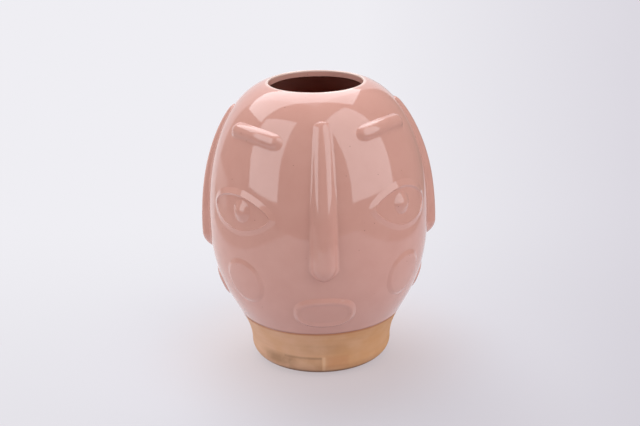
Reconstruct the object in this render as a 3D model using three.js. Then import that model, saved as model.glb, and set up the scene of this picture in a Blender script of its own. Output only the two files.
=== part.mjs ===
// Face flower pot: an egg-shaped earthenware shell on a bare clay foot, with a face in relief on
// each of its four sides. Neighbouring faces share the brow, eye and cheek between their noses.
// Millimetres, +Z up. The origin is the middle of the resting face, and the front looks along -Y.
import * as THREE from 'three';

// Shell: heights are stacked up from the resting face, radii are taken from the axis
const FOOT_HEIGHT = 41.5; // resting face to the glaze line
const BELLY_RISE = 76.5; // glaze line to the widest level
const CROWN_RISE = 107; // widest level to the crest of the rim
const BELLY_RADIUS = 86.6;
const RIM_RADIUS = 37.6; // where the crown turns into the lip
const LIP_ROUND = 1.2;
const WALL = 5;
const GLAZE_SLOPE = 59; // degrees above level, of the wall at the glaze line
const RIM_SLOPE = 12.5; // degrees above level, of the crown at the rim
const LOWER_FULLNESS = 0.67; // how far each curve of the body line holds its end direction
const CROWN_FULLNESS = 0.605;
const BELLY_FULLNESS = 0.525;

// Foot
const FOOT_RADIUS = 56.3;
const FOOT_FLARE = 9; // from the foot's wall out to the glaze line
const BASE_ROUND = 12; // outer edge at the resting face
const FLOOR = 7; // thickness of the floor over its hollow underside
const FLOOR_ROUND = 9; // inner corner between floor and wall
const REST_RING = 8; // width of the flat ring that the pot stands on
const BASE_HOLLOW = 2; // depth of the underside inside that ring

// Relief: every sprig lies on the shell with a seam of slip under it
const SEAM = 0.3;
const EDGE = 0.6; // thickness of a sprig at its edge

const NOSE_BELOW_RIM = 27.6; // along the wall, rim to the top of the nose
const NOSE_TIP_RISE = 55.4; // along the wall, glaze line to the tip
const NOSE_TIP_HALF = 12.2;
const NOSE_TAPER = 3.5; // half width lost evenly from tip to top
const NOSE_TOP_TAPER = 2.2; // half width lost near the top only
const NOSE_TIP_LIFT = 7.8;
const NOSE_TOP_LIFT = 1.8;
const NOSE_SINK_POWER = 1.3; // 1 sinks evenly from tip to top
const NOSE_TIP_ROUND = 12.5;
const NOSE_TIP_SQUARENESS = 1.75; // 2 is an ellipse
const NOSE_TOP_ROUND = 6;
const NOSE_TOP_SQUARENESS = 2.1;

const MOUTH_RISE = 24.6; // along the wall, glaze line to the middle of the mouth
const MOUTH_HALF_WIDTH = 24;
const MOUTH_HALF_HEIGHT = 15;
const MOUTH_LIFT = 2;
const MOUTH_DISH = 0.6; // the flat inside lies this much below the lip line
const MOUTH_BEVEL = 3.4;
const MOUTH_LIP = 1.8; // from the lip line in to the flat
const MOUTH_SQUARENESS = 2.5; // 2 is an ellipse

const EYE_ABOVE_BELLY = 24.8; // along the wall, widest level to the middle of the eye
const EYE_HALF_WIDTH = 31;
const EYE_HALF_HEIGHT = 17.4;
const EYE_SQUARENESS = 1.9; // below 2 the corners are pointed
const EYE_UPPER_SHARE = 0.81; // height of the upper half against the lower
const LID_LIFT = 1.5;
const LID_CREST = 3.5; // outline in to the crest of the lid line
const LID_WIDTH = 4.9; // outline in to the flat
const EYE_FLAT = 0.95; // thickness of the pad inside the lid line
const IRIS_RADIUS = 8;
const IRIS_LIFT = 1.8;

const BROW_BELOW_RIM = 42; // along the wall, rim to the middle of the brow
const BROW_HALF_LENGTH = 27.5;
const BROW_HALF_WIDTH = 6.4;
const BROW_LIFT = 3.3;
const BROW_END_ROUND = 9;

const CHEEK_RISE = 47.5; // along the wall, glaze line to the middle of the cheek
const CHEEK_RADIUS = 18.8;
const CHEEK_LIFT = 1.05;
const CHEEK_BEVEL = 2.1;

// The sprigs are laid by hand, so each has small shifts of its own up the wall
const FRONT_NOSE_TOP_SHIFT = -1.7;
const RIGHT_NOSE_TIP_SHIFT = 3.6;
const LEFT_NOSE_TIP_SHIFT = -3;
const LEFT_NOSE_TOP_SHIFT = -2;
const LEFT_BROW_SHIFT = -1.5;
const RIGHT_BROW_SHIFT = 2.5;
const LEFT_EYE_SHIFT = -0.6;
const RIGHT_EYE_SHIFT = -1;
const RIGHT_CHEEK_SHIFT = 1;

// Sides carry a nose and a mouth; corners carry a brow, an eye and a cheek. Besides its shift, each
// sprig has its own turn round the pot and lean or tilt, in degrees, and an eye has its own size.
// Opposite corners are alike.
const SIDES = [
  {
    name: 'front',
    azimuth: 0,
    nose: { turn: -0.3, tipShift: 0, topShift: FRONT_NOSE_TOP_SHIFT, lean: -0.8 },
    mouthTurn: 0,
  },
  {
    name: 'right',
    azimuth: 90,
    nose: { turn: 2, tipShift: RIGHT_NOSE_TIP_SHIFT, topShift: 0, lean: 0 },
    mouthTurn: 7,
  },
  {
    name: 'back',
    azimuth: 180,
    nose: { turn: 0, tipShift: 0, topShift: 0, lean: 0 },
    mouthTurn: 0,
  },
  {
    name: 'left',
    azimuth: 270,
    nose: { turn: -6, tipShift: LEFT_NOSE_TIP_SHIFT, topShift: LEFT_NOSE_TOP_SHIFT, lean: 1.8 },
    mouthTurn: -8,
  },
];
const LEFT_HAND = {
  brow: { shift: LEFT_BROW_SHIFT, turn: 0, tilt: -4 },
  eye: { shift: LEFT_EYE_SHIFT, turn: -2.2, tilt: 2.5, size: 1 },
  cheek: { shift: 0, turn: -0.8, tilt: 0 },
};
const RIGHT_HAND = {
  brow: { shift: RIGHT_BROW_SHIFT, turn: 0, tilt: 2 },
  eye: { shift: RIGHT_EYE_SHIFT, turn: 0.8, tilt: -8, size: 1.08 },
  cheek: { shift: RIGHT_CHEEK_SHIFT, turn: 3, tilt: 0 },
};
const CORNERS = [
  { name: 'front_left', azimuth: -45, laid: LEFT_HAND },
  { name: 'front_right', azimuth: 45, laid: RIGHT_HAND },
  { name: 'back_right', azimuth: 135, laid: LEFT_HAND },
  { name: 'back_left', azimuth: 225, laid: RIGHT_HAND },
];

// Facets
const TURN_STEPS = 56;
const OUTER_STEPS = 15;
const INNER_STEPS = 12;
const FLARE_STEPS = 5;
const ROUND_STEPS = 3;
const NOSE_STEPS = 9;
const BROW_STEPS = 3;
const PAD_POINTS = 24;
const DISC_POINTS = 20;
const IRIS_POINTS = 14;

const GLAZE = { color: 0xc8968c, roughness: 0.12, metalness: 0 };
const BARE_CLAY = { color: 0xc49670, roughness: 0.85, metalness: 0 };

const radians = THREE.MathUtils.degToRad;
const lerp = THREE.MathUtils.lerp;
const glazeRadius = FOOT_RADIUS + FOOT_FLARE;
const bellyHeight = FOOT_HEIGHT + BELLY_RISE;
const rimHeight = bellyHeight + CROWN_RISE;
const point = (radius, height) => new THREE.Vector2(radius, height);
const count = (steps) => Array.from({ length: steps + 1 }, (_, i) => i / steps);

// The body line runs up the outside of the glazed wall in two curves. Both are upright at the
// belly, and the lower handle there is set so that they share one curvature.
function makeBodyLine() {
  const lowReach = LOWER_FULLNESS * (BELLY_RADIUS - glazeRadius);
  const glazeHandle = point(glazeRadius + lowReach, FOOT_HEIGHT + lowReach * Math.tan(radians(GLAZE_SLOPE)));
  const topReach = CROWN_FULLNESS * (BELLY_RADIUS - RIM_RADIUS);
  const rimHandle = point(RIM_RADIUS + topReach, rimHeight - topReach * Math.tan(radians(RIM_SLOPE)));
  const upward = BELLY_FULLNESS * CROWN_RISE;
  const downward = upward * Math.sqrt((BELLY_RADIUS - glazeHandle.x) / (BELLY_RADIUS - rimHandle.x));
  const glaze = point(glazeRadius, FOOT_HEIGHT);
  const belly = point(BELLY_RADIUS, bellyHeight);
  const rim = point(RIM_RADIUS, rimHeight);
  const line = new THREE.CurvePath();
  const underBelly = point(BELLY_RADIUS, bellyHeight - downward);
  const overBelly = point(BELLY_RADIUS, bellyHeight + upward);
  line.add(new THREE.CubicBezierCurve(glaze, glazeHandle, underBelly, belly));
  line.add(new THREE.CubicBezierCurve(belly, overBelly, rimHandle, rim));
  return line;
}

const bodyLine = makeBodyLine();
const wallLength = bodyLine.getLength();
const bellyClimb = bodyLine.getCurveLengths()[0];

// A profile point off the body line: share runs from 0 at the glaze line to 1 at the rim
function offBodyLine(share, lift) {
  const base = bodyLine.getPoint(share);
  const run = bodyLine.getTangent(share);
  return point(base.x + lift * run.y, base.y - lift * run.x);
}

// Points of a round edge, from one angle to another in degrees
function arc(centre, radius, from, to) {
  return count(ROUND_STEPS).map((share) => {
    const angle = radians(lerp(from, to, share));
    return point(centre.x + radius * Math.cos(angle), centre.y + radius * Math.sin(angle));
  });
}

// Turns a profile round the axis
function turned(name, profile, finish) {
  const geometry = new THREE.LatheGeometry(profile, TURN_STEPS);
  geometry.rotateX(Math.PI / 2);
  const mesh = new THREE.Mesh(geometry, new THREE.MeshStandardMaterial(finish));
  mesh.name = name;
  return mesh;
}

function makeShell() {
  const outside = count(OUTER_STEPS).map((share) => offBodyLine(share, 0));
  const lip = arc(offBodyLine(1, -LIP_ROUND), LIP_ROUND, 90 - RIM_SLOPE, 180).slice(1);
  const inside = count(INNER_STEPS).map((share) => offBodyLine(1 - share, -WALL));
  return turned('pot_shell', [...outside, ...lip, ...inside, outside[0]], GLAZE);
}

// The foot takes up the wall at the glaze line, one seam lower, and sweeps in to an upright wall
function makeFoot() {
  const top = point(glazeRadius, FOOT_HEIGHT - SEAM);
  const topInside = offBodyLine(0, -WALL).sub(point(0, SEAM));
  const bend = top.y - FOOT_FLARE * Math.tan(radians(GLAZE_SLOPE));
  const innerRadius = FOOT_RADIUS - WALL;
  const bendInside = topInside.y - (topInside.x - innerRadius) * Math.tan(radians(GLAZE_SLOPE));
  const outerFlare = new THREE.QuadraticBezierCurve(
    point(FOOT_RADIUS, BASE_ROUND), point(FOOT_RADIUS, bend), top);
  const floorTop = BASE_HOLLOW + FLOOR;
  const innerFlare = new THREE.QuadraticBezierCurve(
    topInside, point(innerRadius, bendInside), point(innerRadius, floorTop + FLOOR_ROUND));
  const ringOuter = FOOT_RADIUS - BASE_ROUND;
  const ringInner = ringOuter - REST_RING;
  const profile = [
    point(0, BASE_HOLLOW),
    point(ringInner - BASE_HOLLOW, BASE_HOLLOW),
    point(ringInner, 0),
    ...arc(point(ringOuter, BASE_ROUND), BASE_ROUND, -90, 0),
    ...outerFlare.getPoints(FLARE_STEPS).slice(1),
    ...innerFlare.getPoints(FLARE_STEPS),
    ...arc(point(innerRadius - FLOOR_ROUND, floorTop + FLOOR_ROUND), FLOOR_ROUND, 0, -90).slice(1),
    point(0, floorTop),
  ];
  return turned('foot', profile, BARE_CLAY);
}

// Lays a point of a sprig's flat plan on the wall. Across and up are measured from the sprig's
// middle. A straight strip keeps to its own straight line, so on the crown its ends drop.
function layOnWall(site, across, up, lift) {
  const tilt = radians(site.tilt);
  const sideways = across * Math.cos(tilt) - up * Math.sin(tilt);
  const upward = across * Math.sin(tilt) + up * Math.cos(tilt);
  const middle = site.climb / wallLength;
  const bend = bodyLine.getTangent(middle).x / bodyLine.getPoint(middle).x;
  const share = (site.climb + upward + (bend * sideways * sideways) / 2) / wallLength;
  const turn = radians(site.azimuth) + sideways / bodyLine.getPoint(share).x;
  const place = offBodyLine(share, SEAM + lift);
  return [place.x * Math.sin(turn), -place.x * Math.cos(turn), place.y];
}

// Where a sprig of a corner lies, with its hand-laid differences
function laidSite(corner, kind, climb) {
  const { shift, turn, tilt } = corner.laid[kind];
  return { azimuth: corner.azimuth + turn, climb: climb + shift, tilt };
}

// Closes a stack of plan loops into one solid with a point at each end, laid on the wall.
// A plan point is [across, up, lift].
function sprig(name, site, first, loops, last) {
  const size = loops[0].length;
  const end = 1 + loops.length * size;
  const at = (loop, i) => 1 + loop * size + (i % size);
  const faces = [];
  for (let i = 0; i < size; i += 1) {
    faces.push(0, at(0, i + 1), at(0, i));
    for (let loop = 0; loop + 1 < loops.length; loop += 1) {
      faces.push(at(loop, i), at(loop, i + 1), at(loop + 1, i + 1));
      faces.push(at(loop, i), at(loop + 1, i + 1), at(loop + 1, i));
    }
    faces.push(end, at(loops.length - 1, i), at(loops.length - 1, i + 1));
  }
  const plan = [first, ...loops.flat(), last];
  const places = plan.flatMap(([across, up, lift]) => layOnWall(site, across, up, lift));
  const geometry = new THREE.BufferGeometry();
  geometry.setAttribute('position', new THREE.Float32BufferAttribute(places, 3));
  geometry.setIndex(faces);
  geometry.computeVertexNormals();
  const mesh = new THREE.Mesh(geometry, new THREE.MeshStandardMaterial(GLAZE));
  mesh.name = name;
  return mesh;
}

// A pad is a flat-backed sprig with a closed outline. Each ring of its face is the outline drawn
// in by an inset and then by a scale, at one lift. The last ring closes on a point.
const BACK_SCALES = [0.33, 0.67, 1];
function pad(name, site, outline, base, rings, middleLift) {
  const ring = ({ inset = 0, scale = 1, lift }) => outline.unit.map(([x, y]) => [
    (outline.halfWidth - inset) * scale * x, (outline.halfHeight - inset) * scale * y, lift]);
  const back = BACK_SCALES.map((scale) => ring({ scale, lift: base }));
  return sprig(name, site, [0, 0, base], [...back, ...rings.map(ring)], [0, 0, middleLift]);
}

const signedPower = (value, power) => Math.sign(value) * Math.abs(value) ** power;
const angles = (points) => Array.from({ length: points }, (_, i) => (2 * Math.PI * i) / points);

function oval(points, halfWidth, halfHeight, squareness, upperShare = 1) {
  const unit = angles(points).map((angle) => {
    const y = signedPower(Math.sin(angle), 2 / squareness);
    return [signedPower(Math.cos(angle), 2 / squareness), y > 0 ? upperShare * y : y];
  });
  return { unit, halfWidth, halfHeight };
}

function makeMouth(side) {
  const site = { azimuth: side.azimuth + side.mouthTurn, climb: MOUTH_RISE, tilt: 0 };
  const outline = oval(PAD_POINTS, MOUTH_HALF_WIDTH, MOUTH_HALF_HEIGHT, MOUTH_SQUARENESS);
  const flat = MOUTH_LIFT - MOUTH_DISH;
  const rings = [
    { lift: EDGE },
    { inset: MOUTH_BEVEL / 2, lift: lerp(EDGE, MOUTH_LIFT, 0.75) },
    { inset: MOUTH_BEVEL, lift: MOUTH_LIFT },
    { inset: MOUTH_BEVEL + MOUTH_LIP, lift: flat },
    { inset: MOUTH_BEVEL + MOUTH_LIP, scale: 0.5, lift: flat },
  ];
  return pad(`mouth_${side.name}`, site, outline, 0, rings, flat);
}

function makeCheek(corner) {
  const site = laidSite(corner, 'cheek', CHEEK_RISE);
  const outline = oval(DISC_POINTS, CHEEK_RADIUS, CHEEK_RADIUS, 2);
  const rings = [
    { lift: EDGE },
    { inset: CHEEK_BEVEL / 2, lift: lerp(EDGE, CHEEK_LIFT, 0.75) },
    { inset: CHEEK_BEVEL, lift: CHEEK_LIFT },
    { inset: CHEEK_BEVEL, scale: 0.5, lift: CHEEK_LIFT },
  ];
  return pad(`cheek_${corner.name}`, site, outline, 0, rings, CHEEK_LIFT);
}

// The lid line is a rounded ridge round the eye, and the pad inside it is flat
function makeEye(corner) {
  const site = laidSite(corner, 'eye', bellyClimb + EYE_ABOVE_BELLY);
  const { size } = corner.laid.eye;
  const outline = oval(
    PAD_POINTS, size * EYE_HALF_WIDTH, size * EYE_HALF_HEIGHT, EYE_SQUARENESS, EYE_UPPER_SHARE);
  const rings = [
    { lift: EDGE },
    { inset: LID_CREST / 2, lift: lerp(EDGE, LID_LIFT, 0.5) },
    { inset: LID_CREST, lift: LID_LIFT },
    { inset: LID_WIDTH, lift: EYE_FLAT },
    { inset: LID_WIDTH, scale: 0.5, lift: EYE_FLAT },
  ];
  return pad(`eye_${corner.name}`, site, outline, 0, rings, EYE_FLAT);
}

// The iris is a domed button on the flat of the eye, with a seam of its own
function makeIris(corner) {
  const site = { azimuth: corner.azimuth, climb: bellyClimb + EYE_ABOVE_BELLY, tilt: 0 };
  const outline = oval(IRIS_POINTS, IRIS_RADIUS, IRIS_RADIUS, 2);
  const base = EYE_FLAT + SEAM;
  const rings = [1, 0.85, 0.5].map((scale) => (
    { scale, lift: base + lerp(EDGE, IRIS_LIFT, quarterRound(1 - scale)) }));
  return pad(`iris_${corner.name}`, site, outline, base, rings, base + IRIS_LIFT);
}

// One cross-section of a long ridge: its face runs from left to right, then its back returns.
// A crown pair gives a share of the half width and the share of the lift that is left there.
function ridgeSection(up, halfWidth, lift, crown) {
  const face = crown.map(([x, share]) => [x * halfWidth, up, lerp(EDGE, lift, share)]);
  const back = [1, 0.5, 0, -0.5, -1].map((x) => [x * halfWidth, up, 0]);
  return [...face, ...back];
}

const quarterRound = (share) => Math.sqrt(1 - (1 - share) ** 2);
const roundedEnd = (share, squareness) => (1 - (1 - share) ** squareness) ** (1 / squareness);
const NOSE_CROWN = [
  [-1, 0], [-0.86, 0.08], [-0.72, 0.34], [-0.5, 0.74], [0, 1],
  [0.5, 0.74], [0.72, 0.34], [0.86, 0.08], [1, 0]];
const BROW_CROWN = [[-1, 0], [-0.6, 0.75], [0, 1], [0.35, 0.8], [0.6, 0.4], [1, 0]];
const NOSE_TIP_STATIONS = [0.03, 0.12, 0.35, 0.65]; // shares of the round end
const NOSE_TOP_STATIONS = [0.5, 0.15];
const NOSE_TAPER_POWER = 6; // how late the top taper sets in

// The nose tapers and sinks from its blunt tip to a round top under the rim. Its section is a round
// crown that runs out to the wall in a hollow fillet on each side.
function makeNose(side) {
  const { turn, tipShift, topShift, lean } = side.nose;
  const tipClimb = NOSE_TIP_RISE + tipShift;
  const length = wallLength - NOSE_BELOW_RIM + topShift - tipClimb;
  const site = { azimuth: side.azimuth + turn, climb: tipClimb, tilt: lean };
  const section = (up, widthShare, liftShare) => {
    const share = up / length;
    const taper = NOSE_TAPER * share + NOSE_TOP_TAPER * share ** NOSE_TAPER_POWER;
    const halfWidth = widthShare * (NOSE_TIP_HALF - taper);
    const fullLift = lerp(NOSE_TIP_LIFT, NOSE_TOP_LIFT, share ** NOSE_SINK_POWER);
    return ridgeSection(up, halfWidth, lerp(EDGE, fullLift, liftShare), NOSE_CROWN);
  };
  const straight = length - NOSE_TIP_ROUND - NOSE_TOP_ROUND;
  const tip = NOSE_TIP_STATIONS.map((share) =>
    section(share * NOSE_TIP_ROUND, roundedEnd(share, NOSE_TIP_SQUARENESS), quarterRound(share)));
  const middle = count(NOSE_STEPS).map((share) => section(NOSE_TIP_ROUND + share * straight, 1, 1));
  const top = NOSE_TOP_STATIONS.map((share) => {
    const up = length - share * NOSE_TOP_ROUND;
    return section(up, roundedEnd(share, NOSE_TOP_SQUARENESS), quarterRound(share));
  });
  const sections = [...tip, ...middle, ...top];
  return sprig(`nose_${side.name}`, site, [0, 0, EDGE / 2], sections, [0, length, EDGE / 2]);
}

// The brow is a straight bar with round ends, laid along the crown above the eye. Its upper shoulder
// is full and its lower side runs out to the wall.
function makeBrow(corner) {
  const site = laidSite(corner, 'brow', wallLength - BROW_BELOW_RIM);
  site.tilt -= 90;
  const section = (along, share) =>
    ridgeSection(along, share * BROW_HALF_WIDTH, lerp(EDGE, BROW_LIFT, share), BROW_CROWN);
  const straight = BROW_HALF_LENGTH - BROW_END_ROUND;
  const ends = [0.15, 0.5];
  const start = ends.map((share) =>
    section(share * BROW_END_ROUND - BROW_HALF_LENGTH, quarterRound(share)));
  const middle = count(BROW_STEPS).map((share) => section(lerp(-straight, straight, share), 1));
  const finish = ends.toReversed().map((share) =>
    section(BROW_HALF_LENGTH - share * BROW_END_ROUND, quarterRound(share)));
  const sections = [...start, ...middle, ...finish];
  const tip = (along) => [0, along, EDGE / 2];
  return sprig(`brow_${corner.name}`, site, tip(-BROW_HALF_LENGTH), sections, tip(BROW_HALF_LENGTH));
}

const pot = new THREE.Group();
pot.add(makeShell(), makeFoot());
SIDES.forEach((side) => pot.add(makeNose(side), makeMouth(side)));
CORNERS.forEach((corner) => pot.add(makeBrow(corner), makeEye(corner), makeIris(corner), makeCheek(corner)));

export default pot;
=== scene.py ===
# %% [markdown]
# # A face flower pot
#
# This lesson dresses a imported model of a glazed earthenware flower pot. The real pot is an
# egg-shaped shell, slip cast in a mould, on a foot that was left bare when the pot was dipped in
# pink glaze. A face in relief looks out of each of its four sides. The makers call such clay
# reliefs sprigs: they are pressed in small moulds and luted on with slip.
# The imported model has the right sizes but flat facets, and a glossy glaze would mirror each facet.
# So every piece is made again here as a fine smooth skin, which rides on the model's one body.

# %% Load the frame
import math
import bmesh
import bpy
import numpy as np
from mathutils import Matrix, Vector


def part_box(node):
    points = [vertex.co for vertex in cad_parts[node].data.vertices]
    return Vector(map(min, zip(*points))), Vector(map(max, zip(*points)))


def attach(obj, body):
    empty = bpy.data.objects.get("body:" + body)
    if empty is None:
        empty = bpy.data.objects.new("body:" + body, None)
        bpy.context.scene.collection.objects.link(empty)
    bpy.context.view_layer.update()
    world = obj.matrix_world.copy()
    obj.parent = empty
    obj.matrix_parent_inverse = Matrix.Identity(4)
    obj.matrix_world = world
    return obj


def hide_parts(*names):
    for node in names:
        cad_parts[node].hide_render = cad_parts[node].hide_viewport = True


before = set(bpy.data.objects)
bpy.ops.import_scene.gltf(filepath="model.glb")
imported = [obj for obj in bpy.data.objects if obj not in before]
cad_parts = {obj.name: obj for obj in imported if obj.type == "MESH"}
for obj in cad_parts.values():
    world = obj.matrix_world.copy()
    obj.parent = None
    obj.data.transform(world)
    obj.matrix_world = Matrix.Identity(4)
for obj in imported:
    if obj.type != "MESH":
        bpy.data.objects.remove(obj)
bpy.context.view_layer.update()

MM = 0.001
print("nodes in the frame:", len(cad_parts))

# %% [markdown]
# ## The body line
#
# A potter draws a pot by its body line, the outside edge of its wall. Here it runs from the glaze
# line, where the bare foot ends, out to the belly and in to the rim. A polygon or a spline through
# measured points would ripple in the reflections. Two Bezier curves that share one curvature at
# the belly have no ripple, and few values to set. Both ends of the line come from the frame, apart
# from the radius of the rim.

# %% Values of the body line
shell_low, shell_high = (np.array(corner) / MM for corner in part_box("pot_shell"))
GLAZE_LINE = shell_low[2]
RIM_HEIGHT = shell_high[2]
GLAZE_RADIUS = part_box("foot")[1][0] / MM
BELLY_RADIUS = 86.6
BELLY_HEIGHT = 118.0
RIM_RADIUS = 37.6
GLAZE_SLOPE = math.tan(math.radians(59.0))
RIM_SLOPE = math.tan(math.radians(12.5))
LOWER_FULLNESS = 0.67
CROWN_FULLNESS = 0.605
BELLY_FULLNESS = 0.525
print("glaze line %.1f, belly radius %.1f, rim %.1f mm" % (GLAZE_LINE, BELLY_RADIUS, RIM_HEIGHT))

# %% Draw the body line and measure along it
def bezier(start, start_handle, end_handle, end, steps=1500):
    t = np.linspace(0, 1, steps)[:, None]
    points = [np.array(p, float) for p in (start, start_handle, end_handle, end)]
    weights = [(1 - t) ** 3, 3 * t * (1 - t) ** 2, 3 * t * t * (1 - t), t ** 3]
    return sum(w * p for w, p in zip(weights, points))

low_reach = LOWER_FULLNESS * (BELLY_RADIUS - GLAZE_RADIUS)
top_reach = CROWN_FULLNESS * (BELLY_RADIUS - RIM_RADIUS)
upward = BELLY_FULLNESS * (RIM_HEIGHT - BELLY_HEIGHT)
share_of_bulge = (BELLY_RADIUS - GLAZE_RADIUS - low_reach) / (BELLY_RADIUS - RIM_RADIUS - top_reach)
downward = upward * math.sqrt(share_of_bulge)
lower_curve = bezier(
    (GLAZE_RADIUS, GLAZE_LINE),
    (GLAZE_RADIUS + low_reach, GLAZE_LINE + low_reach * GLAZE_SLOPE),
    (BELLY_RADIUS, BELLY_HEIGHT - downward), (BELLY_RADIUS, BELLY_HEIGHT))
crown_curve = bezier(
    (BELLY_RADIUS, BELLY_HEIGHT), (BELLY_RADIUS, BELLY_HEIGHT + upward),
    (RIM_RADIUS + top_reach, RIM_HEIGHT - top_reach * RIM_SLOPE), (RIM_RADIUS, RIM_HEIGHT))
line = np.vstack([lower_curve, crown_curve[1:]])
steps_along = np.hypot(*np.diff(line, axis=0).T)
climbs = np.concatenate([[0], np.cumsum(steps_along)])
run = np.gradient(line, climbs, axis=0)
run /= np.linalg.norm(run, axis=1)[:, None]
WALL_LENGTH = climbs[-1]
BELLY_CLIMB = climbs[len(lower_curve) - 1]
print("the wall is %.1f mm long, and the belly %.1f mm up it" % (WALL_LENGTH, BELLY_CLIMB))

# %% [markdown]
# ## Places on the wall
#
# Every piece of glaze is placed by three values: the turn round the axis, the climb along the body
# line and the lift off it. A real cast wall isn't true. It moved a little as it dried, so straight
# edges of a lamp look slightly bent in it. A sum of a few slow waves gives that, each a tenth of a
# millimetre high or less, and since shell and sprigs use the same waves they stay together.

# %% From turn, climb and lift to a point
# waves round the pot, waves up the wall, height in mm, phase
UNEVENNESS = [
    (2, 1.3, 0.10, 0.4), (3, 2.2, 0.08, 2.1), (5, 1.7, 0.05, 4.0),
    (4, 3.6, 0.045, 1.2), (7, 4.4, 0.025, 5.3)]

def uneven(turn, climb):
    up_wall = 2 * np.pi * climb / WALL_LENGTH
    return sum(h * np.sin(k * turn + m * up_wall + phase) for k, m, h, phase in UNEVENNESS)

def wall_at(climb):
    along = [np.interp(climb, climbs, column) for column in (*line.T, *run.T)]
    below = np.minimum(climb, 0)
    return along[0] + below * along[2], along[1] + below * along[3], along[2], along[3]

def off_wall(turn, climb, lift):
    radius, height, outward, upright = wall_at(climb)
    lift = lift + uneven(turn, climb)
    radius = radius + lift * upright
    return np.stack([radius * np.sin(turn), -radius * np.cos(turn), height - lift * outward], -1)

print("all waves together: %.2f mm" % sum(h for _, _, h, _ in UNEVENNESS))

# %% [markdown]
# ## A skin from loops
#
# All pieces of this pot are stacks of closed loops: turned rings for the shell and foot, and
# outlines drawn in step by step for the sprigs. One function joins neighbouring loops with faces.
# Loops that shrink to a point or a line are merged, so that each piece is one closed body.

# %% The loop mesh
MERGE_WITHIN = 2e-6
SHARP_ABOVE = math.radians(50)

def skin_of_loops(name, loops, joined=False):
    loops = np.asarray(loops, float)
    rows, columns = loops.shape[:2]
    index = np.arange(rows * columns).reshape(rows, columns)
    lower = index if joined else index[:-1]
    upper = np.roll(index, -1, axis=0) if joined else index[1:]
    faces = np.stack([lower, np.roll(lower, -1, 1), np.roll(upper, -1, 1), upper], -1)
    mesh = bpy.data.meshes.new(name)
    mesh.from_pydata((loops.reshape(-1, 3) * MM).tolist(), [], faces.reshape(-1, 4).tolist())
    shape = bmesh.new()
    shape.from_mesh(mesh)
    bmesh.ops.remove_doubles(shape, verts=shape.verts, dist=MERGE_WITHIN)
    bmesh.ops.recalc_face_normals(shape, faces=shape.faces)
    open_edges = sum(not edge.is_manifold for edge in shape.edges)
    shape.to_mesh(mesh)
    shape.free()
    mesh.shade_smooth()
    mesh.set_sharp_from_angle(angle=SHARP_ABOVE)
    piece = bpy.data.objects.new(name, mesh)
    bpy.context.scene.collection.objects.link(piece)
    print("%s: %d faces, %d open edges" % (name, len(mesh.polygons), open_edges))
    return piece

def ease(share):
    share = np.clip(share, 0, 1)
    return share * share * (3 - 2 * share)

pieces = {}
print("a quarter of the way, an eased rise has done %.2f of it" % ease(0.25))

# %% [markdown]
# ## The shell
#
# The shell is a slip-cast wall about 5 mm thick, glazed inside and out, with a small round lip at
# the mouth. At its lower edge the glaze stops in a soft bead, a little uneven all round, because
# the pot was held by its foot and dipped. A lathe of one profile would give a dead straight glaze
# line, so each ring here can shift a little along the wall as it goes round.

# %% Turn the shell
RING_POINTS = 300
TURNS = np.linspace(0, 2 * np.pi, RING_POINTS, endpoint=False)
OUTSIDE_ROWS = 190
LIP_ROWS = 10
INSIDE_ROWS = 80
WALL = 5.0
LIP_ROUND = 0.8
BEAD_REACH = 7.0
ABOVE_BEAD = 4.5
# climb and lift of the rounded end of the glaze, over the top of the bare clay
GLAZE_BEAD = [
    (-0.9, -0.8), (-0.85, -0.25), (-0.7, 0.05), (-0.4, 0.22),
    (0.1, 0.3), (0.8, 0.28), (1.8, 0.2), (3.2, 0.1)]
EDGE_WAVES = [(2, 0.35, 0.6), (5, 0.2, 2.0), (11, 0.12, 4.1)]  # waves round the pot, height in mm, phase

def glaze_edge(turn):
    return sum(h * np.sin(k * turn + phase) for k, h, phase in EDGE_WAVES)

def shell_ring(climb, lift):
    drift = glaze_edge(TURNS) * (1 - ease(climb / BEAD_REACH))
    return off_wall(TURNS, climb + drift, np.full_like(TURNS, lift))

def turned_ring(radius, height):
    return np.stack([radius * np.sin(TURNS), -radius * np.cos(TURNS), np.full_like(TURNS, height)], -1)

outside = [shell_ring(climb, lift) for climb, lift in GLAZE_BEAD]
outside += [shell_ring(climb, 0) for climb in np.linspace(ABOVE_BEAD, WALL_LENGTH, OUTSIDE_ROWS)]
rim_tilt = math.atan(RIM_SLOPE)
lip_radius = RIM_RADIUS - LIP_ROUND * math.sin(rim_tilt)
lip_height = RIM_HEIGHT - LIP_ROUND * math.cos(rim_tilt)
lip = [
    turned_ring(lip_radius + LIP_ROUND * math.cos(angle), lip_height + LIP_ROUND * math.sin(angle))
    for angle in np.linspace(math.pi / 2 - rim_tilt, math.pi, LIP_ROWS)[1:]]
inside = [shell_ring(climb, -WALL) for climb in np.linspace(WALL_LENGTH, 0, INSIDE_ROWS)]
pieces["pot_shell"] = skin_of_loops("glazed_shell", outside + lip + inside, joined=True)

# %% [markdown]
# ## The foot
#
# The foot is the bare end of the same casting: an upright wall with a wide round edge below, and a
# flare that leads up to the glaze. It was cast in a mould, so a faint raised line is left where the
# mould halves met. Underneath, a flat ring carries the pot and the middle is a little hollow.

# %% Values of the foot
FOOT_RADIUS = 56.3
BASE_ROUND = 12.0
REST_RING = 8.0
BASE_HOLLOW = 2.0
HOLLOW_EDGE = 0.1
FLOOR_TOP = 9.0
FLOOR_ROUND = 9.0
SEAM_GAP = 0.3
MOULD_LINES = np.radians([-0.6, 179.4])
MOULD_LINE_HALF = 0.7
MOULD_LINE_LIFT = 0.22
MOULD_LINE_FROM, MOULD_LINE_TO = 1.0, 26.0  # heights that it runs between
MOULD_LINE_STARTS, MOULD_LINE_FADES = 6.0, 14.0  # lengths in which it comes and goes
print("the foot is %.1f mm wide" % (2 * FOOT_RADIUS))

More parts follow.
